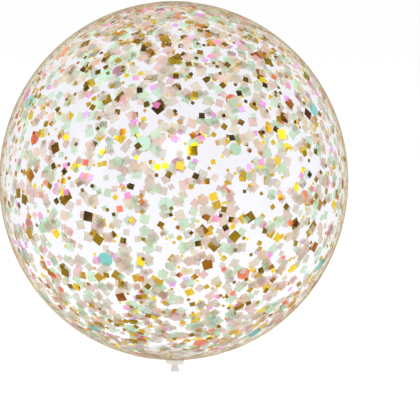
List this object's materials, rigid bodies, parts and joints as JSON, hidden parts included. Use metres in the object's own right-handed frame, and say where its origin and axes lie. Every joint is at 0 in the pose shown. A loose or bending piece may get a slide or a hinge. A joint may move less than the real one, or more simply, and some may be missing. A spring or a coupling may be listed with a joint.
{
  "type": "inflatable beach ball",
  "caption": "Clear inflatable beach ball filled with gold foil and pastel tissue confetti, with a push-in valve at the bottom pole.",
  "frame": {"origin": "on the pole axis, half way down the pulled-out valve stem, where a hand grips the ball, 14 mm below the film's bottom pole", "axes": "+Z along the pole axis from the valve up to the top pole; -Y towards the front seam's side"},
  "size_m": [0.4, 0.4, 0.4328],
  "materials": {
    "clear_film": "clear glossy vinyl film",
    "welded_film": "clear film, welded",
    "valve_vinyl": "soft clear moulded vinyl",
    "flap_film": "thin clear film",
    "gold_foil": "bright metallic foil",
    "taupe_tissue": "tissue paper",
    "mint_tissue": "tissue paper",
    "pink_tissue": "tissue paper",
    "magenta_tissue": "tissue paper",
    "orange_tissue": "tissue paper",
    "coral_paper": "matt paper",
    "teal_paper": "matt paper",
    "mauve_paper": "matt paper",
    "green_paper": "matt paper"
  },
  "bodies": {
    "skin": {"gore_front_right": "clear_film", "gore_back_right": "clear_film", "gore_back_left": "clear_film", "gore_front_left": "clear_film", "seam_front": "welded_film", "seam_right": "welded_film", "seam_back": "welded_film", "seam_left": "welded_film", "top_disc": "clear_film", "bottom_disc": "clear_film", "valve_flange": "valve_vinyl", "valve_cup": "valve_vinyl", "confetti_gold_foil_large": "gold_foil", "confetti_gold_foil_medium": "gold_foil", "confetti_gold_foil_small": "gold_foil", "confetti_taupe_tissue_large": "taupe_tissue", "confetti_taupe_tissue_small": "taupe_tissue", "confetti_mint_tissue_large": "mint_tissue", "confetti_mint_tissue_small": "mint_tissue", "confetti_pink_tissue_large": "pink_tissue", "confetti_pink_tissue_small": "pink_tissue", "confetti_magenta_tissue": "magenta_tissue", "confetti_orange_tissue": "orange_tissue", "confetti_coral_dots": "coral_paper", "confetti_teal_dots": "teal_paper", "confetti_mauve_dots": "mauve_paper", "confetti_green_dots": "green_paper"},
    "stem": {"valve_stem": "valve_vinyl", "flap_weld_tab": "valve_vinyl", "plug_strap": "valve_vinyl"},
    "flap": {"check_flap": "flap_film"},
    "plug": {"valve_plug": "valve_vinyl", "strap_ring": "valve_vinyl"}
  },
  "joints": [
    {"name": "valve_push", "type": "slide", "parent": "skin", "child": "stem", "axis": [0, 0, 1], "range_m": [0, 0.02], "deforming": ["valve_cup"]},
    {"name": "plug_pull", "type": "slide", "parent": "stem", "child": "plug", "axis": [0, 0, -1], "range_m": [0, 0.008], "deforming": ["plug_strap"]},
    {"name": "check_flap_swing", "type": "hinge", "parent": "stem", "child": "flap", "pos_m": [0, 0.0047, 0.0063], "axis": [-1, 0, 0], "range_deg": [0, 70]}
  ]
}
